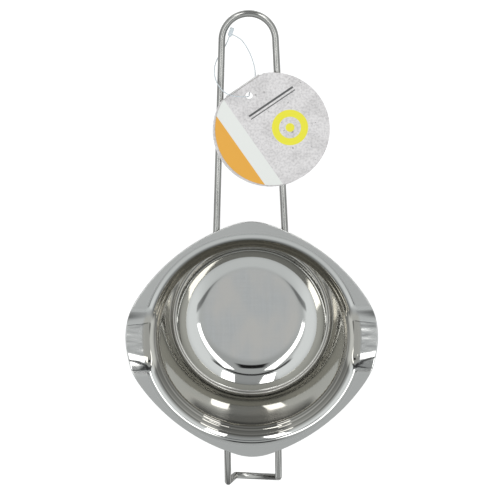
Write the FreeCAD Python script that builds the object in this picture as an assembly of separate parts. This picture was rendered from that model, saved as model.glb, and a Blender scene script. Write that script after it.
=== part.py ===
"""Melting bowl for a water bath: a pressed steel bowl, its wire handle and pot hook, and its hang tag.

The origin is the centre of the bowl's flat base, +Z is up and +Y points along the handle.
All sizes are in millimetres.
"""
import FreeCAD
import Part

import math
import os

# Bowl: one pressed sheet, each depth and inset measured on the inside from the tier above
SHEET = 0.8
MOUTH_R = 63.2
COLLAR_DEPTH = 7.6
COLLAR_INSET = 7.6
WALL_DEPTH = 41.1
WALL_INSET = 7.0
STEP_DEPTH = 0.6
STEP_INSET = 2.2
FOOT_DEPTH = 8.7
FOOT_INSET = 7.8
RIM_ROUND = 4.0
COLLAR_ROUND = 3.0
STEP_ROUND = 1.2
FOOT_ROUND = 24.0

# Flange: its reach past the mouth at the pouring lips and at the handle, and the arcs of its outline
LIP_REACH = 12.7
END_REACH = 10.0
LIP_CORNER_R = 48.8
END_CORNER_R = 30.4
SIDE_ARC_R = 112.3

# Pouring lips: troughs across the flange, deeper at the outer edge
LIP_WIDTH = 36.0
LIP_SIDE_ANGLE = 45.0
LIP_MOUTH_DROP = 3.4
LIP_EDGE_DROP = 5.4
LIP_VALLEY_ROUND = 3.0
LIP_BROW_ROUND = 2.2

# Wire of the handle and the pot hook, and how it sits on the bowl
WIRE_R = 2.0
SEAT_GAP = 0.12
LEG_BEND_R = 13.0
TAIL_DROP = 26.0
WELD_LENGTH = 12.0
WELD_R = 2.3
WELD_LAP = 2.0

# Handle: a hairpin, its legs' spread at the flange, its reach past the flange's end and its end bend
HANDLE_SPREAD = 40.0
HANDLE_REACH = 125.4
HANDLE_BEND_R = 15.6

# Pot hook: the spread of its legs, its reach past the flange's end, its drop and its bends
HOOK_SPREAD = 30.8
HOOK_REACH = 20.3
HOOK_DROP = 17.0
HOOK_BEND_R = 4.6

# Hang tag: two round leaves folded along a flat, lying on the handle's legs past the flange's end
TAG_R = 33.6
TAG_FOLD = 30.8
TAG_HOLE_R = 2.1
TAG_HOLE_INSET = 6.7
TAG_X = 13.4
TAG_Y = 55.6
TAG_FOLD_ANGLE = 124.0
CARD = 0.5
CARD_GAP = 0.3
CARD_REST = 0.3
CREASE_GAP = 0.4
BACK_LEAF_SHIFT = 1.8

# Lock of the tag's loop: a small moulded block beside the handle's left leg
LOCK_LENGTH = 5.1
LOCK_WIDTH = 2.4
LOCK_ROUND = 0.5
LOCK_X = -11.1
LOCK_Y = 110.3
LOCK_ANGLE = 69.4
LOCK_EYE = 1.3

# Tag loop: the strand and its route, counted from the flange's end and the axes of the handle's legs
STRAND_R = 0.3
STRAND_ROUTE = [
    (-9.5, 111.1, 0.0),
    (-6.7, 110.0, 0.0),
    (-3.6, 107.4, -0.4),
    (-1.1, 103.5, -0.9),
    (1.2, 98.7, -1.2),
    (2.9, 93.5, -1.3),
    (3.8, 88.2, -1.5),
    (3.2, 83.2, -2.1),
    (1.8, 80.2, -2.6),
    (0.7, 78.0, -2.5),
    (0.2, 76.5, -1.6),
    (-0.1, 75.6, 0.1),
    (0.0, 75.5, 2.5),
    (-0.1, 75.6, 5.0),
    (-1.0, 75.6, 6.5),
    (-2.5, 75.7, 7.4),
    (-5.7, 75.9, 7.7),
    (-9.8, 76.2, 7.1),
    (-13.7, 77.6, 6.2),
    (-16.9, 80.4, 4.9),
    (-19.3, 84.2, 2.9),
    (-20.4, 88.7, 0.3),
    (-19.9, 93.2, -2.2),
    (-18.0, 97.2, -3.9),
    (-15.6, 100.8, -4.2),
    (-13.4, 104.5, -2.4),
    (-11.9, 108.2, 0.0),
    (-11.1, 110.3, 0.0),
]
STRAND_ARC_SHARE = 0.45

# One overrun serves all cuts
OVERRUN = 6.0

DEPTH = COLLAR_DEPTH + WALL_DEPTH + STEP_DEPTH + FOOT_DEPTH
RIM_Z = SHEET + DEPTH
LIP_X = MOUTH_R + LIP_REACH
END_Y = MOUTH_R + END_REACH
WIRE_Z = RIM_Z - SHEET - SEAT_GAP - WIRE_R
CARD_Z = WIRE_Z + WIRE_R + CARD_REST
CARD_STACK = CARD + CARD_GAP + CARD

UP = FreeCAD.Vector(0, 0, 1)
CENTRE = FreeCAD.Vector(0, 0, 0)


def rounded_run(points, rounds):
    """Straight runs joined by tangent arcs: pairs of points are lines, threes are arcs."""
    spans = []
    start = points[0]
    for before, corner, after, radius in zip(points, points[1:], points[2:], rounds):
        back = (before - corner).normalize()
        ahead = (after - corner).normalize()
        half_turn = (math.pi - back.getAngle(ahead)) / 2
        first = corner + back * (radius * math.tan(half_turn))
        last = corner + ahead * (radius * math.tan(half_turn))
        inward = (back + ahead).normalize()
        middle = corner + inward * (radius / math.cos(half_turn) - radius)
        spans += [(start, first), (first, middle, last)]
        start = last
    spans.append((start, points[-1]))
    return spans


def span_edge(span):
    """A line or an arc through the points of one span."""
    return Part.Arc(*span).toShape() if len(span) == 3 else Part.LineSegment(*span).toShape()


def round_bar(spans, radius):
    """A round wire along the spans, made of cylinders and bends."""
    pieces = []
    for span in spans:
        if len(span) == 2:
            run = span[1] - span[0]
            pieces.append(Part.makeCylinder(radius, run.Length, span[0], run))
        else:
            bend = span_edge(span)
            hub = bend.Curve
            across = hub.Axis.cross(span[0] - hub.Center)
            disc = Part.Face(Part.Wire(Part.Circle(span[0], across, radius).toShape()))
            turn = math.degrees(bend.LastParameter - bend.FirstParameter)
            pieces.append(disc.revolve(hub.Center, hub.Axis, turn))
    return pieces[0].multiFuse(pieces[1:]).removeSplitter()


def wall_corners(skin):
    """Corners of the bowl's section as (radius, height, round), from the base out, moved outwards by skin."""
    levels = [(MOUTH_R, RIM_Z, -RIM_ROUND)]
    tiers = [
        (COLLAR_INSET, COLLAR_DEPTH, -COLLAR_ROUND),
        (WALL_INSET, WALL_DEPTH, STEP_ROUND),
        (STEP_INSET, STEP_DEPTH, -STEP_ROUND),
        (FOOT_INSET, FOOT_DEPTH, FOOT_ROUND),
    ]
    for inset, depth, bend in tiers:
        radius, height, _ = levels[-1]
        levels.append((radius - inset, height - depth, bend))
    corners = levels[::-1]
    ends = [(0, SHEET)] + [corner[:2] for corner in corners] + [(MOUTH_R + LIP_REACH, RIM_Z)]
    moved = []
    for before, corner, after in zip(ends, corners, ends[2:]):
        moved.append(moved_corner(before, corner, after, skin))
    return moved


def moved_corner(before, corner, after, skin):
    """A corner of the section pushed outwards, a hollow bend growing by skin and a raised one shrinking."""
    lean_in = math.atan2(corner[1] - before[1], corner[0] - before[0])
    lean_out = math.atan2(after[1] - corner[1], after[0] - corner[0])
    middle = (lean_in + lean_out) / 2
    push = skin / math.cos((lean_out - lean_in) / 2)
    radius = corner[0] + push * math.sin(middle)
    height = corner[1] - push * math.cos(middle)
    return radius, height, abs(corner[2] + skin)


def bowl_space(skin, reach):
    """The space inside the bowl and above its flange, grown outwards by skin."""
    corners = wall_corners(skin)
    points = [FreeCAD.Vector(0, 0, corners[0][1])]
    points += [FreeCAD.Vector(radius, 0, height) for radius, height, _ in corners]
    points.append(FreeCAD.Vector(reach, 0, corners[-1][1]))
    edges = [span_edge(span) for span in rounded_run(points, [corner[2] for corner in corners])]
    top = RIM_Z + reach
    loop = [points[-1], FreeCAD.Vector(reach, 0, top), FreeCAD.Vector(0, 0, top), points[0]]
    edges += [span_edge(pair) for pair in zip(loop, loop[1:])]
    return Part.Face(Part.Wire(edges)).revolve(CENTRE, UP, 360)


def lip_section(x, skin):
    """The closed outline of a pouring lip at x: floor, valleys, sides and brows, moved outwards by skin."""
    side = math.radians(LIP_SIDE_ANGLE)
    drop = LIP_MOUTH_DROP + (x - MOUTH_R) * (LIP_EDGE_DROP - LIP_MOUTH_DROP) / LIP_REACH
    plane = RIM_Z - skin
    top = RIM_Z + OVERRUN
    shift = skin / math.sin(side) - skin / math.tan(side)
    brow_y = LIP_WIDTH / 2 + shift
    edge_y = brow_y + (LIP_BROW_ROUND - skin) * math.tan(side / 2)
    half = [(edge_y, plane), (brow_y, plane), (brow_y - drop / math.tan(side), plane - drop)]
    row = half + [(-y, z) for y, z in half[::-1]]
    points = [FreeCAD.Vector(x, y, z) for y, z in row]
    rounds = [LIP_BROW_ROUND - skin, LIP_VALLEY_ROUND + skin]
    spans = rounded_run(points, rounds + rounds[::-1])
    edges = [span_edge(span) for span in spans if (span[0] - span[1]).Length > SHEET / 100]
    lid = [points[-1], FreeCAD.Vector(x, -edge_y, top), FreeCAD.Vector(x, edge_y, top), points[0]]
    return Part.Wire(edges + [span_edge(pair) for pair in zip(lid, lid[1:])])


def lip_space(skin, reach):
    """The space of one pouring lip on the +X side, from the mouth's wall out, grown outwards by skin."""
    near = MOUTH_R - COLLAR_INSET
    return Part.makeLoft([lip_section(near, skin), lip_section(reach, skin)], True, True)


def pressed_space(skin, reach):
    """The bowl's space with both pouring lips pressed into its flange."""
    lip = lip_space(skin, reach)
    return bowl_space(skin, reach).multiFuse([lip, lip.rotated(CENTRE, UP, 180)])


def flange_outline():
    """The flange's outline: corner arcs at the lips and ends, joined by four flatter arcs."""
    lip_centre = FreeCAD.Vector(LIP_X - LIP_CORNER_R, 0, 0)
    end_centre = FreeCAD.Vector(0, END_Y - END_CORNER_R, 0)
    apart = end_centre - lip_centre
    to_lip = SIDE_ARC_R - LIP_CORNER_R
    to_end = SIDE_ARC_R - END_CORNER_R
    along = (to_lip ** 2 - to_end ** 2 + apart.Length ** 2) / (2 * apart.Length)
    aside = math.sqrt(to_lip ** 2 - along ** 2)
    axis = FreeCAD.Vector(apart).normalize()
    side_centre = lip_centre + axis * along + UP.cross(axis) * aside
    from_lip = (lip_centre - side_centre).normalize()
    from_end = (end_centre - side_centre).normalize()
    lip_joint = side_centre + from_lip * SIDE_ARC_R
    end_joint = side_centre + from_end * SIDE_ARC_R
    middle = side_centre + (from_lip + from_end).normalize() * SIDE_ARC_R
    edges = []
    for sign in (1, -1):
        across = FreeCAD.Vector(sign * LIP_X, 0, 0)
        joint = FreeCAD.Vector(sign * lip_joint.x, lip_joint.y, 0)
        edges.append(Part.Arc(FreeCAD.Vector(joint.x, -joint.y, 0), across, joint).toShape())
        end = FreeCAD.Vector(end_joint.x, sign * end_joint.y, 0)
        edges.append(Part.Arc(end, FreeCAD.Vector(0, sign * END_Y, 0), mirrored(end)).toShape())
        for other in (1, -1):
            corners = [FreeCAD.Vector(sign * p.x, other * p.y, 0) for p in (lip_joint, middle, end_joint)]
            edges.append(Part.Arc(*corners).toShape())
    return Part.Face(Part.Wire(Part.__sortEdges__(edges)))


def make_bowl():
    """The pressed bowl: its outer space less its inner space, trimmed to the flange's outline."""
    reach = LIP_X + OVERRUN
    sheet = pressed_space(SHEET, reach).cut(pressed_space(0, reach + OVERRUN))
    return sheet.common(flange_outline().extrude(UP * (RIM_Z + OVERRUN)))


def leg_tail(start, inward):
    """The bent end of a wire leg: where it turns down, and where it ends against the bowl's wall."""
    lower, upper = wall_corners(SHEET)[2:4]
    lean = math.atan2(upper[0] - lower[0], upper[1] - lower[1])
    clear = (WIRE_R + SEAT_GAP) / math.cos(lean)

    def distance_in(z):
        radius = lower[0] + (z - lower[1]) * math.tan(lean) + clear
        ahead = start.dot(inward)
        return -ahead - math.sqrt(ahead ** 2 - start.dot(start) + radius ** 2)

    top = upper[1]
    foot = WIRE_Z - TAIL_DROP
    slope = (distance_in(foot) - distance_in(top)) / (foot - top)
    turn = distance_in(top) + slope * (WIRE_Z - top)
    corner = start + inward * turn + UP * WIRE_Z
    return corner, start + inward * distance_in(foot) + UP * foot


def handle_leg():
    """The right leg of the handle: its tangent point on the end bend, and its direction towards the bowl."""
    root = FreeCAD.Vector(HANDLE_SPREAD / 2, END_Y, 0)
    bend_centre = FreeCAD.Vector(0, END_Y + HANDLE_REACH - WIRE_R - HANDLE_BEND_R, 0)
    away = bend_centre - root
    lean = math.atan2(-away.x, away.y) - math.asin(HANDLE_BEND_R / away.Length)
    inward = FreeCAD.Vector(math.sin(lean), -math.cos(lean), 0)
    return bend_centre, root, inward


def handle_tails():
    """The turning corner and the end of each handle leg, right and then left."""
    _, root, inward = handle_leg()
    corner, end = leg_tail(root, inward)
    return [(corner, end), (mirrored(corner), mirrored(end))]


def hook_tails():
    """The turning corner and the end of each hook leg, right and then left."""
    corner, end = leg_tail(FreeCAD.Vector(HOOK_SPREAD / 2, -END_Y, 0), FreeCAD.Vector(0, 1, 0))
    return [(corner, end), (mirrored(corner), mirrored(end))]


def mirrored(point):
    """A point's twin across the plane of the handle."""
    return FreeCAD.Vector(-point.x, point.y, point.z)


def make_long_handle():
    """The hairpin handle, both legs turned down along the bowl's wall."""
    bend_centre, _, inward = handle_leg()
    outward = FreeCAD.Vector(-inward.y, inward.x, 0)
    tangent = bend_centre + outward * HANDLE_BEND_R + UP * WIRE_Z
    crown = bend_centre + FreeCAD.Vector(0, HANDLE_BEND_R, WIRE_Z)
    spans = [(tangent, crown, mirrored(tangent))]
    for start, (corner, end) in zip((tangent, mirrored(tangent)), handle_tails()):
        spans += rounded_run([start, corner, end], [LEG_BEND_R])
    return round_bar(spans, WIRE_R)


def make_pot_hook():
    """The pot hook: out from the wall under the flange, down, across and back, in one wire."""
    (right, right_end), (left, left_end) = hook_tails()
    tip_y = WIRE_R - END_Y - HOOK_REACH
    bar_z = WIRE_Z - HOOK_DROP
    bends = [FreeCAD.Vector(right.x, tip_y, WIRE_Z), FreeCAD.Vector(right.x, tip_y, bar_z)]
    points = [right_end, right] + bends + [mirrored(bend) for bend in bends[::-1]] + [left, left_end]
    rounds = [LEG_BEND_R] + [HOOK_BEND_R] * (2 * len(bends)) + [LEG_BEND_R]
    return round_bar(rounded_run(points, rounds), WIRE_R)


def make_weld(tail, wire, bowl_block):
    """A weld bead along the end of a wire leg, filling the seam between the wire and the bowl's wall."""
    corner, end = tail
    along = (end - corner).normalize()
    inwards = FreeCAD.Vector(-end.x, -end.y, 0).normalize()
    foot = end + inwards * WIRE_R + along * (WELD_LAP - WELD_R)
    head = foot - along * (WELD_LENGTH - WELD_R)
    rod = Part.makeCylinder(WELD_R, (foot - head).Length, head, along)
    bead = rod.multiFuse([Part.makeSphere(WELD_R, head), Part.makeSphere(WELD_R, foot)])
    return bead.cut(wire).cut(bowl_block)


def fold_frame():
    """The fold's middle, and the directions along the fold and from it towards the tag's centre."""
    angle = math.radians(TAG_FOLD_ANGLE)
    to_fold = FreeCAD.Vector(math.cos(angle), math.sin(angle), 0)
    middle = FreeCAD.Vector(TAG_X, END_Y + TAG_Y, CARD_Z) + to_fold * TAG_FOLD
    return middle, UP.cross(to_fold), to_fold * -1


def card_leaf(bottom, margin, shift):
    """One round leaf of card with a flat along the fold and the hole for the loop."""
    middle, along, inward = fold_frame()
    centre = middle + inward * TAG_FOLD + along * shift
    disc = Part.makeCylinder(TAG_R, CARD, centre + UP * bottom)
    corner = middle + inward * margin - along * (2 * TAG_R) + UP * bottom
    reach = inward * (2 * TAG_R)
    width = along * (4 * TAG_R)
    points = [corner, corner + width, corner + width + reach, corner + reach, corner]
    flat = Part.Face(Part.makePolygon(points)).extrude(UP * CARD)
    hole = Part.makeCylinder(TAG_HOLE_R, CARD, middle + inward * TAG_HOLE_INSET + UP * bottom)
    return disc.common(flat).cut(hole)


def make_tag_back_leaf():
    """The back leaf with the rounded spine of the fold along its flat."""
    middle, along, inward = fold_frame()
    half = math.sqrt(TAG_R ** 2 - TAG_FOLD ** 2) - BACK_LEAF_SHIFT
    bottom = middle - along * half
    top = bottom + UP * CARD_STACK
    bulge = (bottom + top) / 2 - inward * (CARD_STACK / 2)
    outline = Part.Wire([Part.Arc(bottom, bulge, top).toShape(), Part.LineSegment(top, bottom).toShape()])
    spine = Part.Face(outline).extrude(along * (2 * half))
    return card_leaf(0, 0, BACK_LEAF_SHIFT).fuse(spine).removeSplitter()


def make_tag_front_leaf():
    """The front leaf, free to open about the fold."""
    return card_leaf(CARD + CARD_GAP, CREASE_GAP, 0)


def lock_frame():
    """The lower end of the loop's lock and its directions along and across."""
    angle = math.radians(LOCK_ANGLE)
    along = FreeCAD.Vector(math.cos(angle), math.sin(angle), 0)
    return FreeCAD.Vector(LOCK_X, END_Y + LOCK_Y, WIRE_Z), along, along.cross(UP)


def make_tag_loop_lock():
    """The lock of the loop: a small block with rounded edges."""
    end, along, across = lock_frame()
    corner = end - across * (LOCK_WIDTH / 2) - UP * (LOCK_WIDTH / 2)
    points = [corner, corner + across * LOCK_WIDTH, corner + across * LOCK_WIDTH + UP * LOCK_WIDTH]
    points += [corner + UP * LOCK_WIDTH, corner]
    block = Part.Face(Part.makePolygon(points)).extrude(along * LOCK_LENGTH)
    return block.makeFillet(LOCK_ROUND, block.Edges)


def make_tag_loop():
    """The strand: straight runs joined by arcs as large as the runs allow, from the lock round and back."""
    end, along, across = lock_frame()
    route = [FreeCAD.Vector(x, END_Y + y, z + WIRE_Z) for x, y, z in STRAND_ROUTE]
    route[0] = end + along * LOCK_EYE + across * (LOCK_WIDTH / 2)
    route[-1] = end
    rounds = []
    for before, corner, after in zip(route, route[1:], route[2:]):
        half_turn = (corner - before).getAngle(after - corner) / 2
        run = min((corner - before).Length, (after - corner).Length)
        rounds.append(STRAND_ARC_SHARE * run / math.tan(half_turn))
    spans = rounded_run(route, rounds)
    length = sum(span_edge(span).Length for span in spans)
    strand = round_bar(spans, STRAND_R)
    print("strand radii", [round(radius, 1) for radius in rounds])
    print("strand length", round(length, 1), "volume", strand.Volume, math.pi * STRAND_R ** 2 * length)
    return strand


def build():
    """Every piece of the object by name."""
    long_handle = make_long_handle()
    pot_hook = make_pot_hook()
    pieces = {"bowl": make_bowl(), "long_handle": long_handle, "pot_hook": pot_hook}
    bowl_block = bowl_space(SHEET, LIP_X + OVERRUN)
    for name, tails, wire in (("handle", handle_tails(), long_handle), ("hook", hook_tails(), pot_hook)):
        for side, tail in zip(("right", "left"), tails):
            pieces[name + "_weld_" + side] = make_weld(tail, wire, bowl_block)
    pieces["tag_back_leaf"] = make_tag_back_leaf()
    pieces["tag_front_leaf"] = make_tag_front_leaf()
    pieces["tag_loop_lock"] = make_tag_loop_lock()
    pieces["tag_loop"] = make_tag_loop()
    return pieces


def main():
    """Write each piece to its own file."""
    os.makedirs("parts", exist_ok=True)
    for name, shape in build().items():
        print(name, "solids", len(shape.Solids), "valid", shape.isValid(), "volume", round(shape.Volume, 1))
        shape.exportStep("parts/" + name + ".step")


main()
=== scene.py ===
"""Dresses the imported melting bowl: a pressed bowl, its wire handle and pot hook, and its printed hang tag.

Every length is in metres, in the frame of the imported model: the origin is the centre of the bowl's base,
+Z is up and +Y runs along the handle.
"""

import logging
import math
from dataclasses import dataclass
from enum import Enum
from typing import Any, Callable, Sequence

import bpy
import numpy as np
from mathutils import Matrix, Vector


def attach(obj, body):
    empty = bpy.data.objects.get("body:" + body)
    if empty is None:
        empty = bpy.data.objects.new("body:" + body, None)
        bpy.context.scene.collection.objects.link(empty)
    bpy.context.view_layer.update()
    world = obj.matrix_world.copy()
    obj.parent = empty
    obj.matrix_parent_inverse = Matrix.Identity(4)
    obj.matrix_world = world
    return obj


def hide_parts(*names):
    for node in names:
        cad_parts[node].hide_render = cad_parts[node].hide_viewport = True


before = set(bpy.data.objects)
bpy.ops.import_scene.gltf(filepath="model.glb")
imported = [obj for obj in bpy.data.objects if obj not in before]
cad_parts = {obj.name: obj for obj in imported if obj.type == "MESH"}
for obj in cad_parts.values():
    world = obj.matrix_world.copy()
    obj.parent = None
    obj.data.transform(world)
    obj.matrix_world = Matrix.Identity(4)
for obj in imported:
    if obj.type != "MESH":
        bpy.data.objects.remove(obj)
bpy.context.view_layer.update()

LOG = logging.getLogger("melting_bowl")
MM = 0.001


class Body(Enum):
    """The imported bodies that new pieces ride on."""

    BOWL = "bowl_body"
    LOOP = "loop"


class Slot(Enum):
    """Names of material slots."""

    SHEET = "sheet_steel"
    WIRE = "wire_steel"
    NYLON = "tag_nylon"


class Value:
    """A number in a shader. Python's operators on it add Math nodes."""

    def __init__(self, graph: "ShaderGraph", socket: bpy.types.NodeSocket) -> None:
        """Wraps one output socket of a graph."""
        self.graph = graph
        self.socket = socket

    def _math(self, operation: str, *sides: Any) -> "Value":
        """A Math node on the given sides, in order."""
        sockets = dict(enumerate(sides))
        return self.graph.value(self.graph.node("ShaderNodeMath", {"operation": operation}, sockets))

    def __add__(self, other: Any) -> "Value":
        """Sum."""
        return self._math("ADD", self, other)

    __radd__ = __add__

    def __sub__(self, other: Any) -> "Value":
        """Difference."""
        return self._math("SUBTRACT", self, other)

    def __rsub__(self, other: Any) -> "Value":
        """Difference from a number on the left."""
        return self._math("SUBTRACT", other, self)

    def __mul__(self, other: Any) -> "Value":
        """Product."""
        return self._math("MULTIPLY", self, other)

    __rmul__ = __mul__

    def __truediv__(self, other: Any) -> "Value":
        """Quotient."""
        return self._math("DIVIDE", self, other)

    def __rtruediv__(self, other: Any) -> "Value":
        """Quotient with a number on the left."""
        return self._math("DIVIDE", other, self)

    def __pow__(self, other: Any) -> "Value":
        """Power."""
        return self._math("POWER", self, other)

    def __abs__(self) -> "Value":
        """Size without sign."""
        return self._math("ABSOLUTE", self)

    def sine(self) -> "Value":
        """Sine of an angle in radians."""
        return self._math("SINE", self)

    def most(self, other: Any) -> "Value":
        """The larger of two values."""
        return self._math("MAXIMUM", self, other)

    def rise(self, low: float, high: float) -> "Value":
        """A smooth step.

        Args:
            low: Where it is 0.
            high: Where it is 1.

        Returns:
            The step's value.
        """
        settings = {"interpolation_type": "SMOOTHSTEP"}
        sockets = {"Value": self, "From Min": low, "From Max": high}
        return self.graph.value(self.graph.node("ShaderNodeMapRange", settings, sockets))

    def between(self, low: float, high: float, soft: float) -> "Value":
        """1 between two edges and 0 outside, with soft edges."""
        return self.rise(low - soft, low + soft) * (1 - self.rise(high - soft, high + soft))


class ShaderGraph:
    """A node tree that is filled by expressions."""

    def __init__(self, tree: bpy.types.NodeTree) -> None:
        """Starts an empty tree."""
        self.tree = tree
        tree.nodes.clear()

    def node(self, kind: str, settings: dict[str, Any] | None = None,
             sockets: dict[Any, Any] | None = None) -> bpy.types.Node:
        """Adds one node.

        Args:
            kind: The node's type name.
            settings: Properties of the node, set first.
            sockets: Numbers, values or sockets by input name or index.

        Returns:
            The new node.
        """
        node = self.tree.nodes.new(kind)
        for name, setting in (settings or {}).items():
            setattr(node, name, setting)
        for key, entry in (sockets or {}).items():
            entry = entry.socket if isinstance(entry, Value) else entry
            if isinstance(entry, bpy.types.NodeSocket):
                self.tree.links.new(entry, node.inputs[key])
            else:
                node.inputs[key].default_value = entry
        return node

    def value(self, node: bpy.types.Node, output: Any = 0) -> Value:
        """One output of a node as a value."""
        return Value(self, node.outputs[output])

    def place(self, space: str = "Object") -> tuple[Value, Value, Value]:
        """The three parts of a point's place, or of its normal.

        Args:
            space: The output of Texture Coordinate to read.

        Returns:
            Its x, y and z.
        """
        spot = self.node("ShaderNodeTexCoord").outputs[space]
        split = self.node("ShaderNodeSeparateXYZ", {}, {0: spot})
        return self.value(split, 0), self.value(split, 1), self.value(split, 2)

    def join(self, x: Any, y: Any, z: Any) -> bpy.types.NodeSocket:
        """A vector of three values."""
        return self.node("ShaderNodeCombineXYZ", {}, {0: x, 1: y, 2: z}).outputs[0]

    def noise(self, spot: bpy.types.NodeSocket, scale: float, detail: float = 2.0) -> Value:
        """Smooth noise about 0.5."""
        sockets = {"Vector": spot, "Scale": scale, "Detail": detail}
        return self.value(self.node("ShaderNodeTexNoise", {}, sockets))

    def blend(self, mask: Any, below: Any, above: Any) -> bpy.types.NodeSocket:
        """The colour below where mask is 0 and above where it is 1."""
        return self.node("ShaderNodeMix", {"data_type": "RGBA"}, {0: mask, 6: below, 7: above}).outputs[2]

    def bump(self, height: Value, strength: float, depth: float) -> bpy.types.NodeSocket:
        """A normal bent by a height."""
        sockets = {"Strength": strength, "Distance": depth, "Height": height}
        return self.node("ShaderNodeBump", {}, sockets).outputs[0]


def rgba(red: float, green: float, blue: float) -> tuple[float, float, float, float]:
    """An opaque linear colour."""
    return (red, green, blue, 1.0)


def surface(name: str, make: Callable[[ShaderGraph], dict[str, Any]]) -> bpy.types.Material:
    """A material with one Principled shader.

    Args:
        name: The material's name.
        make: A function that takes the graph and returns the shader's sockets.

    Returns:
        The material.
    """
    material = bpy.data.materials.new(name)
    material.use_nodes = True
    graph = ShaderGraph(material.node_tree)
    shader = graph.node("ShaderNodeBsdfPrincipled", {}, make(graph))
    graph.node("ShaderNodeOutputMaterial", {}, {"Surface": shader.outputs[0]})
    return material


@dataclass(frozen=True)
class BowlSteel:
    """Pressed sheet: mirror walls, darker above the ledge as painted shade, a satin ledge with painted shade
    lines, a ground base, a satin flange, wavy lips.

    A scale counts the noise's cells in a metre, and the heights of the bump are in millimetres.
    """

    foot: tuple = rgba(0.64, 0.64, 0.62)
    # Painted shade: the upper wall's steel is darker than the foot's, so that its reflections come out dark.
    shaded_wall: tuple = rgba(0.52, 0.505, 0.462)
    ground: tuple = rgba(0.66, 0.665, 0.66)
    scored: tuple = rgba(0.64, 0.643, 0.636)
    warm: tuple = rgba(0.715, 0.69, 0.655)
    brushed: tuple = rgba(0.575, 0.575, 0.56)
    # Dark colour of the painted shade lines at the ledge.
    line: tuple = rgba(0.10, 0.095, 0.085)
    ledge: tuple = rgba(0.50, 0.49, 0.46)
    foot_rough: float = 0.055
    wall_rough: float = 0.06
    ledge_rough: float = 0.32
    disc_rough: float = 0.11
    flange_rough: float = 0.28
    lip_rough: float = 0.11
    disc_r: float = 29.5 * MM
    disc_soft: float = 2.0 * MM
    disc_top: tuple = (2.0 * MM, 4.0 * MM)
    flange_r: float = 65.4 * MM
    lip_y: float = 19.0 * MM
    # Painted shade: dark rings at the ledge's corners, each a radius and a half width.
    painted_shade_lines: tuple = ((47.4 * MM, 0.50 * MM), (49.1 * MM, 0.25 * MM))
    shade_line_weight: float = 0.8
    ledge_z: float = 9.8 * MM
    rim_z: float = 56.8 * MM
    ledge_span: tuple = (46.4 * MM, 49.1 * MM)
    ledge_soft: float = 0.3 * MM
    grain_scale: float = 5200.0
    grain_height: float = 0.0024
    wave_scale: float = 210.0
    wave_stretch: float = 0.3
    wave_height: float = 0.15
    cloud_scale: float = 46.0
    cloud_swing: float = 0.04
    score_scale: float = 900.0
    score_stretch: float = 0.03
    score_edges: tuple = (0.8, 1.2)
    tone_scale: float = 55.0
    tone_stretch: float = 0.6
    tone_edges: tuple = (0.35, 0.70)

    def sockets(self, graph: ShaderGraph) -> dict[str, Any]:
        """The shader's sockets.

        Args:
            graph: The material's graph.

        Returns:
            Sockets by name.
        """
        x, y, z = graph.place()
        spot = graph.join(x, y, z)
        radius = (x * x + y * y) ** 0.5
        disc = 1 - radius.rise(self.disc_r - self.disc_soft, self.disc_r + self.disc_soft)
        disc = disc * (1 - z.rise(*self.disc_top))
        above = z.rise(self.ledge_z - MM, self.ledge_z + MM)
        ledge = radius.between(*self.ledge_span, self.ledge_soft)
        outside = radius.rise(self.flange_r - MM, self.flange_r + MM)
        lips = outside * (1 - abs(y).rise(self.lip_y - MM, self.lip_y + MM))
        flange = outside - lips
        rough = self.foot_rough + above * (self.wall_rough - self.foot_rough)
        rough = rough + disc * (self.disc_rough - self.foot_rough)
        rough = rough + ledge * (self.ledge_rough - self.foot_rough)
        rough = rough + flange * (self.flange_rough - self.wall_rough)
        rough = rough + lips * (self.lip_rough - self.wall_rough)
        rough = rough + (graph.noise(spot, self.cloud_scale, 3.0) - 0.5) * self.cloud_swing
        height = graph.noise(spot, self.grain_scale) * flange * self.grain_height
        wave = graph.noise(graph.join(x * self.wave_stretch, y, z), self.wave_scale, 1.0)
        height = height + wave * lips * self.wave_height
        # The mask of the upper wall, where the darker colour paints shade.
        shaded_wall = above * (1 - z.rise(self.rim_z - MM, self.rim_z + MM))
        colour = graph.blend(shaded_wall, self.foot, self.shaded_wall)
        colour = graph.blend(ledge, colour, self.ledge)
        colour = graph.blend(disc, colour, self.base(graph, x, y))
        colour = graph.blend(outside, colour, self.brushed)
        return {
            # The painted shade lines darken the colour at the ledge's corners.
            "Base Color": graph.blend(self.shade_line_mask(radius) * self.shade_line_weight, colour, self.line),
            "Metallic": 1.0,
            "Roughness": rough,
            "Normal": graph.bump(height, 1.0, MM),
        }

    def base(self, graph: ShaderGraph, x: Value, y: Value) -> bpy.types.NodeSocket:
        """The ground base's colour: crossed score marks under soft warm patches.

        Args:
            graph: The material's graph.
            x: The point's place across the bowl.
            y: The point's place along the handle.

        Returns:
            The colour's socket.
        """
        score = graph.noise(graph.join(x, y * self.score_stretch, 0.0), self.score_scale)
        score = score + graph.noise(graph.join(x * self.score_stretch, y, 0.0), self.score_scale)
        colour = graph.blend(score.rise(*self.score_edges), self.ground, self.scored)
        tone = graph.noise(graph.join(x, y * self.tone_stretch, 0.0), self.tone_scale)
        return graph.blend(tone.rise(*self.tone_edges), colour, self.warm)

    def shade_line_mask(self, radius: Value) -> Value:
        """The mask of the painted shade lines: dark rings painted at the ledge's corners, where shade and
        dark reflection fall.

        Args:
            radius: The point's distance from the bowl's axis.

        Returns:
            1 on a line and 0 beside it.
        """
        lines: Any = 0.0
        for place, half in self.painted_shade_lines:
            lines = (1 - abs(radius - place).rise(half / 2, half)).most(lines)
        return lines

    def material(self) -> bpy.types.Material:
        """The bowl's material."""
        return surface("bowl_steel", self.sockets)


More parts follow.
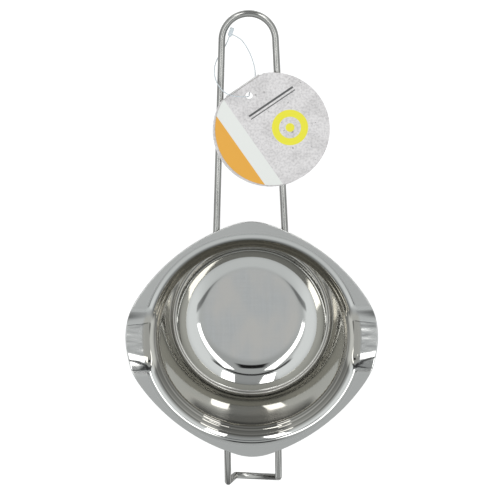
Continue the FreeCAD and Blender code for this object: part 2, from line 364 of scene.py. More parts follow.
@dataclass(frozen=True)
class WireSteel:
    """Drawn round wire with a soft, cloudy sheen."""

    light: tuple = rgba(0.47, 0.465, 0.445)
    dark: tuple = rgba(0.38, 0.375, 0.36)
    rough: float = 0.16
    rough_swing: float = 0.08
    cloud_scale: float = 60.0
    cloud_edges: tuple = (0.35, 0.75)

    def sockets(self, graph: ShaderGraph) -> dict[str, Any]:
        """The shader's sockets.

        Args:
            graph: The material's graph.

        Returns:
            Sockets by name.
        """
        x, y, z = graph.place()
        cloud = graph.noise(graph.join(x, y, z), self.cloud_scale)
        return {
            "Base Color": graph.blend(cloud.rise(*self.cloud_edges), self.light, self.dark),
            "Metallic": 1.0,
            "Roughness": self.rough + (cloud - 0.5) * self.rough_swing,
        }

    def material(self) -> bpy.types.Material:
        """The wire's material."""
        return surface("wire_steel", self.sockets)


@dataclass(frozen=True)
class WeldSteel:
    """Weld bead: ripples along it and patches of brown heat tint."""

    bead: tuple = rgba(0.45, 0.44, 0.43)
    tint: tuple = rgba(0.36, 0.30, 0.25)
    pitch: float = 1.1 * MM
    ripple_depth: float = 0.12 * MM
    ripple_weight: float = 0.5
    waver: float = 3.0
    waver_scale: float = 500.0
    cloud_scale: float = 240.0
    cloud_edges: tuple = (0.4, 0.65)
    rough: float = 0.34
    rough_swing: float = 0.2

    def sockets(self, graph: ShaderGraph) -> dict[str, Any]:
        """The shader's sockets.

        Args:
            graph: The material's graph.

        Returns:
            Sockets by name.
        """
        x, y, z = graph.place()
        spot = graph.join(x, y, z)
        waver = graph.noise(spot, self.waver_scale) * self.waver
        ripple = (z * (2 * math.pi / self.pitch) + waver).sine()
        cloud = graph.noise(spot, self.cloud_scale, 3.0)
        return {
            "Base Color": graph.blend(cloud.rise(*self.cloud_edges), self.bead, self.tint),
            "Metallic": 1.0,
            "Roughness": self.rough + cloud * self.rough_swing,
            "Normal": graph.bump(ripple, self.ripple_weight, self.ripple_depth),
        }

    def material(self) -> bpy.types.Material:
        """The weld's material."""
        return surface("weld_steel", self.sockets)


@dataclass(frozen=True)
class TagCard:
    """Printed card: a pale mottled ground with pits, bands, a ring and two rules, and bare card at its edges.

    The print is laid out from the tag's centre, with a along the rules and b across them.
    """

    centre: tuple = (13.4 * MM, 128.8 * MM)
    turn: float = math.radians(34.0)
    ground: tuple = rgba(0.83, 0.80, 0.795)
    shade: tuple = rgba(0.56, 0.537, 0.533)
    pit: tuple = rgba(0.20, 0.19, 0.19)
    paper: tuple = rgba(0.86, 0.87, 0.83)
    yellow: tuple = rgba(0.90, 0.83, 0.045)
    orange: tuple = rgba(0.87, 0.43, 0.055)
    line: tuple = rgba(0.10, 0.10, 0.10)
    cloud_scale: float = 90.0
    cloud_edges: tuple = (0.42, 0.66)
    cloud_share: float = 0.35
    fine_scale: float = 760.0
    fine_edges: tuple = (0.36, 0.70)
    fine_share: float = 0.65
    pit_scale: float = 420.0
    pit_edges: tuple = (0.64, 0.69)
    pit_weight: float = 0.75
    patch_scale: float = 95.0
    patch_edges: tuple = (0.46, 0.60)
    face_edges: tuple = (0.4, 0.6)
    rough: float = 0.42
    rough_swing: float = 0.1
    tooth_weight: float = 0.15
    tooth_depth: float = 0.04 * MM
    print_soft: float = 0.12 * MM
    band: tuple = (-22.5 * MM, -13.5 * MM)
    ring: tuple = (6.4 * MM, 10.6 * MM)
    ring_centre: tuple = (9.0 * MM, -5.0 * MM)
    dot_r: float = 2.6 * MM
    thin_rule: tuple = (11.6 * MM, 12.2 * MM)
    thick_rule: tuple = (13.4 * MM, 14.6 * MM)
    rule_span: tuple = (-7.0 * MM, 24.0 * MM)

    def sockets(self, graph: ShaderGraph, printed: bool) -> dict[str, Any]:
        """The shader's sockets.

        Args:
            graph: The material's graph.
            printed: Whether the bands, the ring and the rules are on it.

        Returns:
            Sockets by name.
        """
        x, y, _ = graph.place()
        spot = graph.join(x, y, 0.0)
        cloud = graph.noise(spot, self.cloud_scale, 5.0)
        fine = graph.noise(spot, self.fine_scale, 5.0)
        mottle = cloud.rise(*self.cloud_edges) * self.cloud_share
        mottle = mottle + fine.rise(*self.fine_edges) * self.fine_share
        pits = graph.noise(spot, self.pit_scale, 4.0).rise(*self.pit_edges)
        pits = pits * graph.noise(spot, self.patch_scale).rise(*self.patch_edges)
        colour = graph.blend(mottle, self.ground, self.shade)
        colour = graph.blend(pits * self.pit_weight, colour, self.pit)
        if printed:
            across = x - self.centre[0]
            up = y - self.centre[1]
            a = across * math.cos(self.turn) + up * math.sin(self.turn)
            b = up * math.cos(self.turn) - across * math.sin(self.turn)
            colour = self.print_over(graph, colour, a, b)
        _, _, level = graph.place("Normal")
        return {
            "Base Color": graph.blend(abs(level).rise(*self.face_edges), self.paper, colour),
            "Roughness": self.rough + (fine - 0.5) * self.rough_swing,
            "Normal": graph.bump(fine, self.tooth_weight, self.tooth_depth),
        }

    def print_over(self, graph: ShaderGraph, colour: Any, a: Value, b: Value) -> bpy.types.NodeSocket:
        """The printed shapes over the ground.

        Args:
            graph: The material's graph.
            colour: The colour of the ground.
            a: The point's place along the rules.
            b: The point's place across them.

        Returns:
            The colour's socket.
        """
        soft = self.print_soft
        edge = self.band[0]
        colour = graph.blend(a.between(*self.band, soft), colour, self.paper)
        colour = graph.blend(1 - a.rise(edge - soft, edge + soft), colour, self.orange)
        ring_a = a - self.ring_centre[0]
        ring_b = b - self.ring_centre[1]
        reach = (ring_a * ring_a + ring_b * ring_b) ** 0.5
        dot = 1 - reach.rise(self.dot_r - soft, self.dot_r + soft)
        colour = graph.blend(reach.between(*self.ring, soft).most(dot), colour, self.yellow)
        rules = b.between(*self.thin_rule, soft / 2).most(b.between(*self.thick_rule, soft / 2))
        return graph.blend(rules * a.between(*self.rule_span, soft), colour, self.line)

    def material(self, printed: bool) -> bpy.types.Material:
        """The card's material, printed or plain."""
        name = "card_printed" if printed else "card_plain"
        return surface(name, lambda graph: self.sockets(graph, printed))


@dataclass(frozen=True)
class TagNylon:
    """Clear nylon of the strand and its lock, with a faint milky cloud."""

    clear: tuple = rgba(0.70, 0.77, 0.81)
    milky: tuple = rgba(0.80, 0.85, 0.88)
    cloud_scale: float = 700.0
    rough: float = 0.22
    rough_swing: float = 0.1
    clearness: float = 0.25
    ior: float = 1.53

    def sockets(self, graph: ShaderGraph) -> dict[str, Any]:
        """The shader's sockets.

        Args:
            graph: The material's graph.

        Returns:
            Sockets by name.
        """
        x, y, z = graph.place()
        cloud = graph.noise(graph.join(x, y, z), self.cloud_scale)
        return {
            "Base Color": graph.blend(cloud, self.clear, self.milky),
            "Roughness": self.rough + cloud * self.rough_swing,
            "Transmission Weight": self.clearness,
            "IOR": self.ior,
        }

    def material(self) -> bpy.types.Material:
        """The nylon's material."""
        return surface("clear_nylon", self.sockets)


def add_piece(name: str, points: Any, faces: Sequence[Sequence[int]],
              material: bpy.types.Material) -> bpy.types.Object:
    """A smooth mesh piece at the origin.

    Args:
        name: The piece's name.
        points: Its vertices.
        faces: Vertex numbers of each face.
        material: Its only material.

    Returns:
        The new object.
    """
    mesh = bpy.data.meshes.new(name)
    mesh.from_pydata([tuple(point) for point in points], [], faces)
    mesh.materials.append(material)
    mesh.polygons.foreach_set("use_smooth", [True] * len(mesh.polygons))
    mesh.update()
    piece = bpy.data.objects.new(name, mesh)
    bpy.context.scene.collection.objects.link(piece)
    return piece


def settle(piece: bpy.types.Object, body: Body, slot: Slot, *nodes: str) -> bpy.types.Object:
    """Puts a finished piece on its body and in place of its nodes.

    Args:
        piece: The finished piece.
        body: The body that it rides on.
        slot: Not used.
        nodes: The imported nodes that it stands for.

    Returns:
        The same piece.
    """
    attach(piece, body.value)
    if nodes:
        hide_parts(*nodes)
    LOG.info("%s rides on %s", piece.name, body.value)
    return piece


def dress_node(name: str, material: bpy.types.Material) -> bpy.types.Object:
    """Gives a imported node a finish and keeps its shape.

    Args:
        name: The node's name.
        material: Its only material.

    Returns:
        The node's object.
    """
    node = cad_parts[name]
    node.data.materials.clear()
    node.data.materials.append(material)
    LOG.info("%s keeps its shape", name)
    return node


def rounded_path(points: Sequence[Vector], rounds: Sequence[float], step: float) -> list[Vector]:
    """Points along straight runs joined by tangent arcs.

    Args:
        points: The corners, first and last being the ends.
        rounds: The radius at each inner corner.
        step: The largest angle between neighbours on an arc, in radians.

    Returns:
        The points in order.
    """
    path = [points[0]]
    for before, corner, after, radius in zip(points, points[1:], points[2:], rounds):
        back = (before - corner).normalized()
        ahead = (after - corner).normalized()
        half = (math.pi - back.angle(ahead)) / 2
        hub = corner + (back + ahead).normalized() * (radius / math.cos(half))
        first = corner + back * (radius * math.tan(half)) - hub
        axis = first.cross(ahead).normalized()
        count = max(3, math.ceil(2 * half / step))
        path += [hub + Matrix.Rotation(2 * half * k / count, 3, axis) @ first for k in range(count + 1)]
    return path + [points[-1]]


@dataclass
class Bowl:
    """The pressed bowl: tiers of revolution, a flange of tangent arcs and two pouring lips.

    A corner is its radius, height and round. The columns' turns are in degrees, and a ripple is its length
    in millimetres, its share of the depth and its start.
    """

    sheet: float = 0.8 * MM
    corners: tuple = (
        (38.6 * MM, 0.8 * MM, 24.0 * MM),
        (46.4 * MM, 9.5 * MM, 1.2 * MM),
        (48.6 * MM, 10.1 * MM, 1.2 * MM),
        (55.6 * MM, 51.2 * MM, 3.0 * MM),
        (63.2 * MM, 58.8 * MM, 6.5 * MM),
    )
    lip_x: float = 75.9 * MM
    end_y: float = 73.2 * MM
    lip_corner_r: float = 48.8 * MM
    end_corner_r: float = 30.4 * MM
    side_arc_r: float = 112.3 * MM
    lip_half: float = 18.0 * MM
    mouth_drop: float = 3.4 * MM
    edge_drop: float = 5.4 * MM
    valley_soft: float = 4.4 * MM
    brow_soft: float = 3.6 * MM
    brow_reach: float = 14.4 * MM
    collar_r: float = 54.0 * MM
    ring_step: float = 4.0 * MM
    ripple_low: float = 43.0 * MM
    ripple_fade: float = 3.0 * MM
    ripple_step: float = 0.4 * MM
    ripple_depth: float = 0.06 * MM
    ripples: tuple = ((3.7, 0.5, 0.0), (2.3, 0.35, 1.0))
    arc_step: float = math.radians(5.0)
    edge_tilts: tuple = (60.0, 30.0, 0.0, -30.0, -60.0)
    flange_steps: int = 18
    fine_turn: float = 0.55
    wide_turn: float = 1.5
    fine_reach: float = 24.0

    def turns(self) -> np.ndarray:
        """Angles of the columns round the bowl, close together at the lips.

        Returns:
            The angles in radians.
        """
        quarter = list(np.arange(0.0, self.fine_reach, self.fine_turn))
        rest = max(2, round((90.0 - self.fine_reach) / self.wide_turn))
        quarter += list(np.linspace(self.fine_reach, 90.0, rest, endpoint=False))
        quarter = np.array(quarter)
        half = np.concatenate([quarter, [90.0], 180.0 - quarter[:0:-1]])
        return np.radians(np.concatenate([half, half + 180.0]))

    def outline(self, turn: float) -> float:
        """How far the flange reaches from the bowl's axis.

        Args:
            turn: The angle from the middle of the right lip, in radians.

        Returns:
            The radius of the flange's edge.
        """
        ray = np.array([abs(math.cos(turn)), abs(math.sin(turn))])
        lip = np.array([self.lip_x - self.lip_corner_r, 0.0])
        end = np.array([0.0, self.end_y - self.end_corner_r])
        apart = end - lip
        span = float(np.hypot(*apart))
        to_lip = self.side_arc_r - self.lip_corner_r
        to_end = self.side_arc_r - self.end_corner_r
        along = (to_lip ** 2 - to_end ** 2 + span ** 2) / (2 * span)
        aside = math.sqrt(to_lip ** 2 - along ** 2)
        axis = apart / span
        side = lip + axis * along + np.array([-axis[1], axis[0]]) * aside
        lip_joint = side + (lip - side) / to_lip * self.side_arc_r
        end_joint = side + (end - side) / to_end * self.side_arc_r
        angle = math.atan2(ray[1], ray[0])
        if angle < math.atan2(lip_joint[1], lip_joint[0]):
            hub, radius = lip, self.lip_corner_r
        elif angle > math.atan2(end_joint[1], end_joint[0]):
            hub, radius = end, self.end_corner_r
        else:
            hub, radius = side, self.side_arc_r
        ahead = float(ray @ hub)
        return ahead + math.sqrt(ahead ** 2 - float(hub @ hub) + radius ** 2)

    def section(self) -> list[tuple[float, float]]:
        """The inside of the bowl from the base's centre to the start of the flange.

        Returns:
            Radius and height of each point.
        """
        rim = self.corners[-1]
        ends = [Vector((0.0, 0.0, self.sheet))]
        ends += [Vector((radius, 0.0, height)) for radius, height, _ in self.corners]
        ends.append(Vector((rim[0] + rim[2], 0.0, rim[1])))
        path = rounded_path(ends, [corner[2] for corner in self.corners], self.arc_step)[:-1]
        points = []
        for here, there in zip(path, path[1:]):
            for start, end in self.split_run(here, there):
                step = self.ripple_step if start.z >= self.ripple_low else self.ring_step
                count = max(1, math.ceil((end - start).length / step))
                points += [start.lerp(end, k / count) for k in range(count)]
        points.append(path[-1])
        return [(point.x + self.ripple(point.x, point.z), point.z) for point in points]

    def split_run(self, here: Vector, there: Vector) -> list[tuple[Vector, Vector]]:
        """A straight run of the section, cut where the ripples start.

        Args:
            here: The run's start.
            there: The run's end.

        Returns:
            One run, or two where it crosses that height.
        """
        if not here.z < self.ripple_low < there.z:
            return [(here, there)]
        cut = here.lerp(there, (self.ripple_low - here.z) / (there.z - here.z))
        return [(here, cut), (cut, there)]

    def ripple(self, radius: float, height: float) -> float:
        """How far the press ripples of the upper wall and the collar stand out.

        Args:
            radius: The radius of the plain section.
            height: Its height there.

        Returns:
            What the ripples add to the radius.
        """
        rim_r, rim_z, _ = self.corners[-1]
        fade = min(1.0, max(0.0, (height - self.ripple_low) / self.ripple_fade))
        fade *= min(1.0, max(0.0, (rim_z - height) / self.ripple_fade))
        along = 2 * math.pi * (height + radius - rim_r) / MM
        swing = sum(share * math.sin(along / length + start) for length, share, start in self.ripples)
        return self.ripple_depth * fade * swing

    def lip_height(self, x: np.ndarray, y: np.ndarray) -> np.ndarray:
        """The pouring lips' troughs, rising past the flange outside them.

        Args:
            x: Places across the bowl.
            y: Places along the handle.

        Returns:
            The heights there.
        """
        rim_r, rim_z, _ = self.corners[-1]
        reach = self.lip_x - rim_r
        drop = self.mouth_drop + (np.abs(x) - rim_r) * (self.edge_drop - self.mouth_drop) / reach
        floor = rim_z - drop
        side = rim_z + np.abs(y) - self.lip_half
        return -soft_least(-floor, -side, self.valley_soft)

    def upper_skin(self) -> np.ndarray:
        """The upper skin from the centre of the base to the edge of the flange.

        Returns:
            A grid of points, rings by columns.
        """
        turns = self.turns()
        section = self.section()
        start = section[-1][0]
        edge = self.sheet / 2
        outer = np.array([self.outline(turn) for turn in turns]) - edge
        radii = [np.full(len(turns), radius) for radius, _ in section]
        heights = [np.full(len(turns), height) for _, height in section]
        for k in range(1, self.flange_steps + 1):
            radii.append(start + (outer - start) * k / self.flange_steps)
            heights.append(np.full(len(turns), self.corners[-1][1]))
        radius = np.array(radii)
        height = np.array(heights)
        x = radius * np.cos(turns)
        y = radius * np.sin(turns)
        lips = soft_least(height, self.lip_height(x, y), self.brow_soft)
        open_flange = np.abs(y) > self.lip_half + self.brow_reach
        height = np.where((radius > self.collar_r) & ~open_flange, lips, height)
        return np.stack([x, y, height], axis=-1)

    def build(self, finish: BowlSteel) -> bpy.types.Object:
        """Builds both skins and the rounded edge between them, as one closed piece.

        Args:
            finish: The bowl's finish.

        Returns:
            The piece that stands for the bowl.
        """
        upper = self.upper_skin()
        normal = skin_normals(upper)
        lower = upper - normal * self.sheet
        middle = upper[-1] - normal[-1] * (self.sheet / 2)
        outward = upper[-1] - upper[-2]
        outward -= normal[-1] * np.sum(outward * normal[-1], axis=-1, keepdims=True)
        outward /= np.linalg.norm(outward, axis=-1, keepdims=True)
        rings = list(upper[1:])
        for tilt in np.radians(self.edge_tilts):
            bulge = normal[-1] * math.sin(tilt) + outward * math.cos(tilt)
            rings.append(middle + bulge * (self.sheet / 2))
        rings += list(lower[:0:-1])
        points = [upper[0, 0]]
        for ring in rings:
            points.extend(ring)
        points.append(lower[0, 0])
        faces = closed_faces(len(rings), upper.shape[1])
        piece = add_piece("bowl_sheet", points, faces, finish.material())
        return settle(piece, Body.BOWL, Slot.SHEET, "bowl")


def closed_faces(rings: int, columns: int) -> list[tuple[int, ...]]:
    """Faces of a closed shell of rings between a first and a last point.

    Args:
        rings: How many rings there are.
        columns: How many points a ring has.

    Returns:
        Vertex numbers of each face.
    """
    faces = []
    last = 1 + rings * columns
    end = last - columns
    for j in range(columns):
        k = (j + 1) % columns
        faces.append((0, 1 + j, 1 + k))
        for i in range(rings - 1):
            here = 1 + i * columns
            faces.append((here + j, here + columns + j, here + columns + k, here + k))
        faces.append((last, end + k, end + j))
    return faces


def soft_least(one: np.ndarray, other: np.ndarray, soft: float) -> np.ndarray:
    """The smaller of two heights, with the edge where they cross rounded."""
    share = np.clip(0.5 + 0.5 * (other - one) / soft, 0.0, 1.0)
    return other + (one - other) * share - soft * share * (1.0 - share)


def skin_normals(skin: np.ndarray) -> np.ndarray:
    """Unit normals of a grid of points, on the upper side.

    Args:
        skin: The points, rings by columns, the first ring being one point.

    Returns:
        A normal for each point.
    """
    out = np.gradient(skin, axis=0)
    around = np.roll(skin, -1, axis=1) - np.roll(skin, 1, axis=1)
    normal = np.cross(out, around)
    normal[0] = (0.0, 0.0, 1.0)
    return normal / np.linalg.norm(normal, axis=-1, keepdims=True)


class WireTree:
    """Geometry Nodes that sweep a round wire along a path of edges."""

    SIDES = 40

    def __init__(self) -> None:
        """Builds the tree with its named inputs."""
        self.tree = bpy.data.node_groups.new("round_wire", "GeometryNodeTree")
        face = self.tree.interface
        face.new_socket("Path", in_out="INPUT", socket_type="NodeSocketGeometry")
        self.radius = face.new_socket("Radius", in_out="INPUT", socket_type="NodeSocketFloat").identifier
        self.sides = face.new_socket("Sides", in_out="INPUT", socket_type="NodeSocketInt").identifier
        self.finish = face.new_socket("Finish", in_out="INPUT", socket_type="NodeSocketMaterial").identifier
        face.new_socket("Wire", in_out="OUTPUT", socket_type="NodeSocketGeometry")
        given = self.tree.nodes.new("NodeGroupInput").outputs
        curve = self.add("GeometryNodeMeshToCurve", {0: given[0]})
        circle = self.add("GeometryNodeCurvePrimitiveCircle", {"Resolution": given[2], "Radius": given[1]})
        lines = {"Curve": curve.outputs[0], "Profile Curve": circle.outputs[0]}
        sweep = self.add("GeometryNodeCurveToMesh", lines)
        sweep.inputs["Fill Caps"].default_value = True
        smooth = self.add("GeometryNodeSetShadeSmooth", {0: sweep.outputs[0]})
        real = self.add("GeometryNodeRealizeInstances", {0: smooth.outputs[0]})
        painted = self.add("GeometryNodeSetMaterial", {0: real.outputs[0], "Material": given[3]})
        self.add("NodeGroupOutput", {0: painted.outputs[0]})

    def add(self, kind: str, links: dict[Any, bpy.types.NodeSocket]) -> bpy.types.Node:
        """Adds one node and links its inputs.

        Args:
            kind: The node's type name.
            links: Sockets by input name or index.

        Returns:
            The new node.
        """
        node = self.tree.nodes.new(kind)
        for key, socket in links.items():
            self.tree.links.new(socket, node.inputs[key])
        return node

    def sweep(self, name: str, path: Sequence[Vector], radius: float,
              finish: bpy.types.Material) -> bpy.types.Object:
        """A finished wire piece along a path.

        Args:
            name: The piece's name.
            path: Points of the wire's axis.
            radius: The wire's radius.
            finish: Its material.

        Returns:
            The wire as a plain mesh object.
        """
        line = bpy.data.meshes.new(name + "_axis")
        edges = [(k, k + 1) for k in range(len(path) - 1)]
        line.from_pydata([tuple(point) for point in path], edges, [])
        holder = bpy.data.objects.new(name + "_axis", line)
        bpy.context.scene.collection.objects.link(holder)
        modifier = holder.modifiers.new("wire", "NODES")
        modifier.node_group = self.tree
        modifier[self.radius] = radius
        modifier[self.sides] = self.SIDES
        modifier[self.finish] = finish
        bpy.context.view_layer.update()
        graph = bpy.context.evaluated_depsgraph_get()
        mesh = bpy.data.meshes.new_from_object(holder.evaluated_get(graph))
        mesh.name = name
        holder.modifiers.remove(modifier)
        bpy.data.objects.remove(holder)
        piece = bpy.data.objects.new(name, mesh)
        bpy.context.scene.collection.objects.link(piece)
        return piece


@dataclass
class WireFittings:
    """The hairpin handle and the pot hook, bent from one gauge of wire."""

    wire_r: float = 2.0 * MM
    wire_z: float = 55.88 * MM
    seat: float = 2.12 * MM
    leg_bend_r: float = 13.0 * MM
    tail_drop: float = 26.0 * MM
    wall_low: tuple = Bowl.corners[2][:2]
    wall_high: tuple = Bowl.corners[3][:2]
    sheet: float = Bowl.sheet
    end_y: float = Bowl.end_y
    handle_half: float = 20.0 * MM
    handle_reach: float = 198.6 * MM
    handle_bend_r: float = 15.6 * MM
    hook_half: float = 15.4 * MM
    hook_reach: float = 93.5 * MM
    hook_drop: float = 17.0 * MM
    hook_bend_r: float = 4.6 * MM
    arc_step: float = math.radians(4.0)

    def tail(self, start: Vector, inward: Vector) -> list[Vector]:
        """A leg's end under the flange.

        Args:
            start: A point of the leg in plan, at the flange's end.
            inward: The leg's direction towards the bowl.

        Returns:
            The corner where the leg turns down, and its end against the bowl's wall.
        """
        lean = math.atan2(self.wall_high[0] - self.wall_low[0], self.wall_high[1] - self.wall_low[1])
        clear = (self.seat + self.sheet) / math.cos(lean)

        def run_in(z: float) -> float:
            """How far inward of start the wire's axis clears the wall.

            Args:
                z: The height.

            Returns:
                The distance along the leg.
            """
            radius = self.wall_low[0] + (z - self.wall_low[1]) * math.tan(lean) + clear
            ahead = start.dot(inward)
            return -ahead - math.sqrt(ahead ** 2 - start.dot(start) + radius ** 2)

        top = self.wall_high[1]
        foot = self.wire_z - self.tail_drop
        slope = (run_in(foot) - run_in(top)) / (foot - top)
        turn = run_in(top) + slope * (self.wire_z - top)
        up = Vector((0.0, 0.0, 1.0))
        return [start + inward * turn + up * self.wire_z, start + inward * run_in(foot) + up * foot]

    def handle_path(self) -> list[Vector]:
        """The handle's axis from one tail round the end bend to the other.

        Returns:
            Its points in order.
        """
        root = Vector((self.handle_half, self.end_y, 0.0))
        hub = Vector((0.0, self.handle_reach - self.wire_r - self.handle_bend_r, 0.0))
        away = hub - root
        lean = math.atan2(-away.x, away.y) - math.asin(self.handle_bend_r / away.length)
        corner, end = self.tail(root, Vector((math.sin(lean), -math.cos(lean), 0.0)))
        count = math.ceil((math.pi - 2 * lean) / self.arc_step)
        bend = []
        for k in range(count + 1):
            angle = lean + (math.pi - 2 * lean) * k / count
            bend.append(hub + Vector((math.cos(angle), math.sin(angle), 0.0)) * self.handle_bend_r)
        bend = [point + Vector((0.0, 0.0, self.wire_z)) for point in bend]
        leg = rounded_path([end, corner, bend[0]], [self.leg_bend_r], self.arc_step)
        return leg[:-1] + bend + [mirrored(point) for point in leg[-2::-1]]

    def hook_path(self) -> list[Vector]:
        """The hook's axis: up a tail, out, down, across and back.

        Returns:
            Its points in order.
        """
        corner, end = self.tail(Vector((self.hook_half, -self.end_y, 0.0)), Vector((0.0, 1.0, 0.0)))
        tip = self.wire_r - self.hook_reach
        turn = Vector((corner.x, tip, self.wire_z))
        half = [end, corner, turn, turn - Vector((0.0, 0.0, self.hook_drop))]
        whole = half + [mirrored(point) for point in half[::-1]]
        rounds = [self.leg_bend_r, self.hook_bend_r, self.hook_bend_r]
        return rounded_path(whole, rounds + rounds[::-1], self.arc_step)

    def build(self, finish: WireSteel, weld: WeldSteel) -> None:
        """Sweeps both wires and dresses the welds.

        Args:
            finish: The wire's finish.
            weld: The weld beads' finish.
        """
        steel = finish.material()
        tree = WireTree()
        handle = tree.sweep("handle_wire", self.handle_path(), self.wire_r, steel)
        settle(handle, Body.BOWL, Slot.WIRE, "long_handle")
        hook = tree.sweep("hook_wire", self.hook_path(), self.wire_r, steel)
        settle(hook, Body.BOWL, Slot.WIRE, "pot_hook")
        bead = weld.material()
        for name in ("handle_weld_right", "handle_weld_left", "hook_weld_right", "hook_weld_left"):
            dress_node(name, bead)


def mirrored(point: Vector) -> Vector:
    """A point's twin across the plane of the handle."""
    return Vector((-point.x, point.y, point.z))


@dataclass
class HangTag:
    """The folded card tag with its strand and lock.

    The route holds the strand's points in millimetres, with heights from the axis of the handle's wire.
    """

    wire_z: float = WireFittings.wire_z
    strand_r: float = 0.3 * MM
    strand_length: float = 102.4 * MM
    strand_bevel: int = 4
    strand_steps: int = 6
    route: tuple = (
        (-9.52, 184.295, 0.0), (-6.7, 183.2, 0.0), (-3.6, 180.6, -0.4), (-1.1, 176.7, -0.9),
        (1.2, 171.9, -1.2), (2.9, 166.7, -1.3), (3.8, 161.4, -1.5), (3.2, 156.4, -2.1),
        (1.8, 153.4, -2.6), (0.7, 151.2, -2.5), (0.2, 149.7, -1.6), (-0.1, 148.8, 0.1),
        (0.0, 148.7, 2.5), (-0.1, 148.8, 5.0), (-1.0, 148.8, 6.5), (-2.5, 148.9, 7.4),
        (-5.7, 149.1, 7.7), (-9.8, 149.4, 7.1), (-13.7, 150.8, 6.2), (-16.9, 153.6, 4.9),
        (-19.3, 157.4, 2.9), (-20.4, 161.9, 0.3), (-19.9, 166.4, -2.2), (-18.0, 170.4, -3.9),
        (-15.6, 174.0, -4.2), (-13.4, 177.7, -2.4), (-11.9, 181.4, 0.0), (-11.1, 183.5, 0.0),
    )

    def strand(self, finish: bpy.types.Material) -> bpy.types.Object:
        """The strand as one smooth open curve along its route.

        Args:
            finish: Its material.

        Returns:
            The curve's object.
        """
        curve = bpy.data.curves.new("tag_strand", "CURVE")
        curve.dimensions = "3D"
        curve.bevel_depth = self.strand_r
        curve.bevel_resolution = self.strand_bevel
        curve.resolution_u = self.strand_steps
        spline = curve.splines.new("NURBS")
        spline.points.add(len(self.route) - 1)
        for point, (x, y, z) in zip(spline.points, self.route):
            point.co = (x * MM, y * MM, z * MM + self.wire_z, 1.0)
        spline.order_u = 3
        spline.use_endpoint_u = True
        curve.materials.append(finish)
        strand = bpy.data.objects.new("tag_strand", curve)
        bpy.context.scene.collection.objects.link(strand)
        return strand

    def build(self, card: TagCard, nylon: TagNylon) -> None:
        """Dresses the leaves and the lock and lays the strand.

        Args:
            card: The leaves' finish.
            nylon: The finish of the strand and the lock.
        """
        clear = nylon.material()
        front = dress_node("tag_front_leaf", card.material(True))
        back = dress_node("tag_back_leaf", card.material(False))
        lock = dress_node("tag_loop_lock", clear)
        strand = settle(self.strand(clear), Body.LOOP, Slot.NYLON, "tag_loop")
        x, y, z = self.route[0]
        z * MM + self.wire_z


@dataclass(frozen=True)
class SoftBox:
    """A rectangular lamp that faces a point."""

    place: tuple
    width: float
    height: float
    glow: float
    aim: tuple
    lean: float = 0.0

    def build(self, name: str) -> None:
        """Places the lamp with its width level, then turns it by its lean.

        Args:
            name: The lamp's name.
        """
        data = bpy.data.lights.new(name, "AREA")
        data.shape = "RECTANGLE"
        data.size = self.width
        data.size_y = self.height
        data.energy = self.glow * math.pi * self.width * self.height
        back = (Vector(self.place) - Vector(self.aim)).normalized()
        across = Vector((0.0, 0.0, 1.0)).cross(back).normalized()
        axes = Matrix((across, back.cross(across), back)).transposed()
        axes = axes @ Matrix.Rotation(self.lean, 3, "Z")
        lamp = bpy.data.objects.new(name, data)
        lamp.matrix_world = Matrix.Translation(Vector(self.place)) @ axes.to_4x4()
        bpy.context.scene.collection.objects.link(lamp)


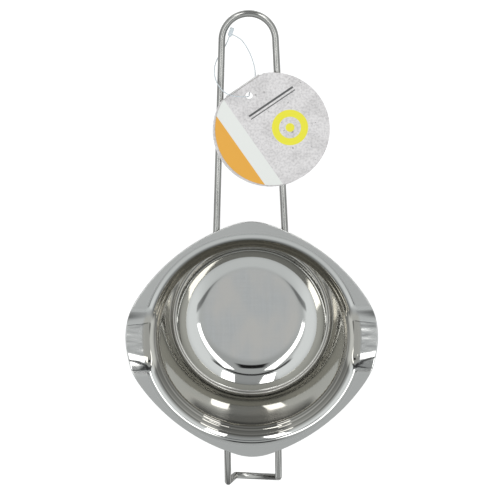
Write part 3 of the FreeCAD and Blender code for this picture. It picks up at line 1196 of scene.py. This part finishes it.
@dataclass(frozen=True)
class Room:
    """The light from all round, by direction, which the mirror of the bowl shows.

    Walls brighten from the horizon up to a softer roof, with a dark arch over the handle's end, two dim beams
    over the hook and a dark patch round the camera. The camera itself sees white. Edges are parts of a unit
    vector, or of one that is 1 high for the beams, and a third number is an edge's softness.
    """

    tint: tuple = rgba(0.95, 0.985, 1.0)
    zenith: float = 0.62
    ceiling: float = 0.50
    walls: float = 1.0
    front: float = 0.42
    back: float = 0.75
    horizon: float = 0.25
    least_z: float = 0.05
    front_edges: tuple = (0.86, 0.93)
    back_edges: tuple = (0.60, 0.95)
    wall_rise: tuple = (0.05, 0.65)
    roof_fade: tuple = (-0.25, 0.0)
    handle_fade: tuple = (0.15, 0.35)
    handle_roof: tuple = (0.82, 0.86)
    hook_roof: tuple = (0.84, 0.93)
    arch_sides: tuple = (0.45, 0.60)
    arch_span: tuple = (0.80, 0.85, 0.01)
    arch_dark: float = 0.9
    beam_across: tuple = (0.14, 0.55, 0.06)
    beam_along: tuple = (-0.45, -0.35, 0.02)
    beam_dark: float = 0.65
    patch_sides: tuple = (0.09, 0.15)
    patch_span: tuple = (0.09, 0.27, 0.03)
    patch_rise: tuple = (0.85, 0.90)
    patch_dark: float = 0.97

    def glow(self, graph: ShaderGraph) -> Value:
        """The light of each direction.

        Args:
            graph: The world's graph.

        Returns:
            The strength.
        """
        x, y, z = graph.place("Generated")
        ahead = y / (x * x + y * y) ** 0.5
        side = self.walls + ahead.rise(*self.front_edges) * (self.front - self.walls)
        side = side + (0 - ahead).rise(*self.back_edges) * (self.back - self.walls)
        side = side * (self.horizon + z.rise(*self.wall_rise) * (1 - self.horizon))
        roof = self.zenith + y.rise(*self.roof_fade) * (self.ceiling - self.zenith)
        handle_side = y.rise(*self.handle_fade)
        top = handle_side * z.rise(*self.handle_roof) + (1 - handle_side) * z.rise(*self.hook_roof)
        glow = side * (1 - top) + top * roof
        arch = ahead.rise(*self.arch_sides) * z.between(*self.arch_span)
        across = x / z.most(self.least_z)
        along = y / z.most(self.least_z)
        beam = abs(across).between(*self.beam_across) * along.between(*self.beam_along)
        patch = (1 - abs(x).rise(*self.patch_sides)) * y.between(*self.patch_span) * z.rise(*self.patch_rise)
        glow = glow * (1 - arch * self.arch_dark) * (1 - beam * self.beam_dark)
        return glow * (1 - patch * self.patch_dark)

    def build(self) -> None:
        """Makes the scene's world."""
        world = bpy.data.worlds.new("room")
        world.use_nodes = True
        graph = ShaderGraph(world.node_tree)
        seen = graph.value(graph.node("ShaderNodeLightPath"), "Is Camera Ray")
        strength = seen + (1 - seen) * self.glow(graph)
        light = graph.node("ShaderNodeBackground", {}, {"Color": self.tint, "Strength": strength})
        graph.node("ShaderNodeOutputWorld", {}, {"Surface": light.outputs[0]})
        bpy.context.scene.world = world


@dataclass
class Studio:
    """Camera, lamps, room and floor."""

    eye: tuple = (-0.0005, 0.4155, 1.5011)
    tilt: float = math.radians(14.0)
    roll: float = math.radians(0.6)
    lens: float = 180.6
    sensor: float = 36.0
    sight: float = 10.0
    strips: tuple = (
        SoftBox((0.55, 0.16, 1.50), 1.03, 0.26, 2.4, (0.0, 0.07, 0.03)),
        SoftBox((-0.45, 0.16, 1.50), 1.03, 0.26, 2.4, (0.0, 0.07, 0.03)),
    )
    tall_boxes: tuple = (
        SoftBox((0.436, 0.787, 0.795), 0.25, 0.63, 3.0, (0.0, 0.0, 0.795), math.radians(6.0)),
        SoftBox((-0.30, 0.849, 0.795), 0.25, 0.63, 3.0, (0.0, 0.0, 0.795), math.radians(-12.0)),
    )
    small_boxes: tuple = (
        SoftBox((0.49, 0.755, 0.215), 0.22, 0.13, 2.0, (0.0, 0.0, 0.215)),
        SoftBox((-0.38, 0.816, 0.215), 0.17, 0.13, 2.0, (0.0, 0.0, 0.215)),
    )
    floor_grey: tuple = rgba(0.45, 0.45, 0.45)
    floor_white: tuple = rgba(1.0, 1.0, 1.0)
    floor_glow: float = 0.78
    floor_mirrored: float = 0.35
    floor_half: float = 3.0
    floor_level: float = -0.2 * MM

    def camera(self) -> None:
        """A long lens above the bowl, tilted towards the handle's end."""
        data = bpy.data.cameras.new("camera")
        data.lens = self.lens
        data.sensor_width = self.sensor
        data.clip_end = self.sight
        back = Vector((0.0, math.sin(self.tilt), math.cos(self.tilt)))
        up = Vector((0.0, math.cos(self.tilt), -math.sin(self.tilt)))
        turn = Matrix.Rotation(-self.roll, 3, back)
        right = turn @ up.cross(back)
        up = turn @ up
        axes = Matrix((right, up, back)).transposed()
        camera = bpy.data.objects.new("camera", data)
        camera.matrix_world = Matrix.Translation(Vector(self.eye)) @ axes.to_4x4()
        bpy.context.scene.collection.objects.link(camera)
        bpy.context.scene.camera = camera

    def lamps(self) -> None:
        """Two long strips overhead, two tall boxes beyond the handle and two small ones under them."""
        for number, box in enumerate(self.strips + self.tall_boxes + self.small_boxes):
            box.build(f"soft_box_{number}")

    def floor(self) -> None:
        """A pale floor that is white to the camera, keeps the shadow and is clear from below."""
        material = bpy.data.materials.new("floor_white")
        material.use_nodes = True
        graph = ShaderGraph(material.node_tree)
        path = graph.node("ShaderNodeLightPath")
        seen = graph.value(path, "Is Camera Ray").most(graph.value(path, "Is Transmission Ray"))
        seen = seen.most(graph.value(path, "Is Glossy Ray") * self.floor_mirrored)
        shine = {"Color": self.floor_white, "Strength": seen * self.floor_glow}
        glow = graph.node("ShaderNodeEmission", {}, shine)
        matte = graph.node("ShaderNodeBsdfDiffuse", {}, {"Color": self.floor_grey})
        both = graph.node("ShaderNodeAddShader", {}, {0: matte.outputs[0], 1: glow.outputs[0]})
        below = graph.node("ShaderNodeNewGeometry").outputs["Backfacing"]
        clear = graph.node("ShaderNodeBsdfTransparent")
        shown = graph.node("ShaderNodeMixShader", {}, {0: below, 1: both.outputs[0], 2: clear.outputs[0]})
        graph.node("ShaderNodeOutputMaterial", {}, {"Surface": shown.outputs[0]})
        half = self.floor_half
        corners = ((-half, -half), (half, -half), (half, half), (-half, half))
        points = [(x, y, self.floor_level) for x, y in corners]
        add_piece("floor", points, [(0, 1, 2, 3)], material)

    def build(self) -> None:
        """Sets the whole stage."""
        self.camera()
        self.lamps()
        Room().build()
        self.floor()
        bpy.context.scene.view_settings.view_transform = "Standard"


def main() -> None:
    """Builds each sub-assembly in order."""
    logging.basicConfig(level=logging.INFO, format="%(name)s: %(message)s")
    Studio().build()
    HangTag().build(TagCard(), TagNylon())
    Bowl().build(BowlSteel())
    WireFittings().build(WireSteel(), WeldSteel())


if __name__ == "__main__":
    main()
